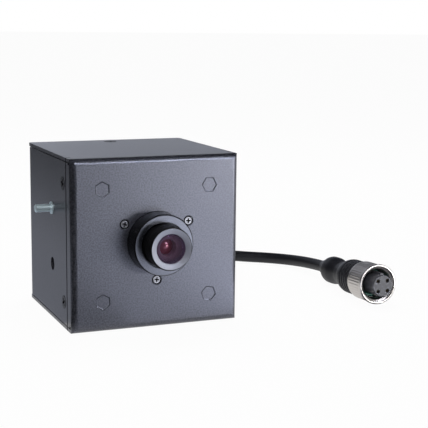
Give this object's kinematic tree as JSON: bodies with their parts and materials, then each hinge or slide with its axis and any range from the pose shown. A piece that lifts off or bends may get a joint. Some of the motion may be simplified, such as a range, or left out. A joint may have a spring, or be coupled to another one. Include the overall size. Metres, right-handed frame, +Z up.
{
  "type": "network camera",
  "caption": "Cube network camera: folded steel box with a screw-in lens in front, a mounting stud and hole on one side, and a short lead that ends in a round keyed connector.",
  "frame": {"origin": "middle of the box's underside", "axes": "the lens looks along -Y, +X is to the right seen from in front, +Z is up"},
  "size_m": [0.1336, 0.1246, 0.0601],
  "materials": {
    "cover_paint": "fine-textured powder coat, dark grey",
    "black_steel": "black oxide",
    "plated_steel": "zinc plated",
    "black_aluminium": "black anodised",
    "lens_glass": "coated",
    "filter_glass": "coated",
    "gasket_rubber": "matte",
    "board_laminate": "solder mask over laminate",
    "chip_plastic": "moulded package",
    "pad_rubber": "soft",
    "sink_aluminium": "plain",
    "header_plastic": "moulded",
    "coil_plastic": "taped windings",
    "lead_jacket": "satin jacket",
    "stop_steel": "crimped",
    "moulded_body": "satin moulded",
    "nickel_brass": "nickel plated",
    "carrier_plastic": "moulded insulator",
    "contact_brass": "gold flashed",
    "seal_rubber": "teal"
  },
  "bodies": {
    "camera": {"front_cover": "cover_paint", "rear_cover": "cover_paint", "cover_screws": "black_steel", "side_stud": "plated_steel", "board_standoffs": "plated_steel", "lens_mount_screws": "plated_steel", "board_spacers": "plated_steel", "board_screws": "plated_steel", "sensor_screws": "plated_steel", "lens_mount": "black_aluminium", "lens_lock_ring": "black_aluminium", "infrared_filter": "filter_glass", "lens_mount_gasket": "gasket_rubber", "lead_grommet": "gasket_rubber", "sensor_board": "board_laminate", "main_board": "board_laminate", "power_board": "board_laminate", "image_sensor": "chip_plastic", "processor": "chip_plastic", "memory_chips": "chip_plastic", "power_choke": "chip_plastic", "network_transformer": "chip_plastic", "thermal_pad": "pad_rubber", "heat_sink": "sink_aluminium", "capacitors": "sink_aluminium", "link_socket": "header_plastic", "link_header": "header_plastic", "pin_header": "header_plastic", "lead_socket": "header_plastic", "lead_plug": "header_plastic", "power_transformer": "coil_plastic", "lead": "lead_jacket", "inner_lead": "lead_jacket", "lead_stop": "stop_steel", "connector_body": "moulded_body", "contact_carrier": "carrier_plastic", "contact_sockets": "contact_brass", "face_seal": "seal_rubber"},
    "lens": {"lens_barrel": "black_aluminium", "lens_front_element": "lens_glass", "lens_middle_element": "lens_glass", "lens_spacer": "black_aluminium", "lens_rear_element": "lens_glass", "lens_rear_ring": "black_aluminium"},
    "coupling_nut": {"coupling_nut": "nickel_brass"}
  },
  "joints": [
    {"name": "lens_focus", "type": "hinge", "parent": "camera", "child": "lens", "pos_m": [0, -0.0295, 0.0304], "axis": [0, -1, 0], "range_deg": [-180, 180]},
    {"name": "coupling_spin", "type": "hinge", "parent": "camera", "child": "coupling_nut", "pos_m": [0.08903, -0.02969, 0.00808], "axis": [-0.0435, -0.9973, 0.0593], "continuous": true}
  ]
}
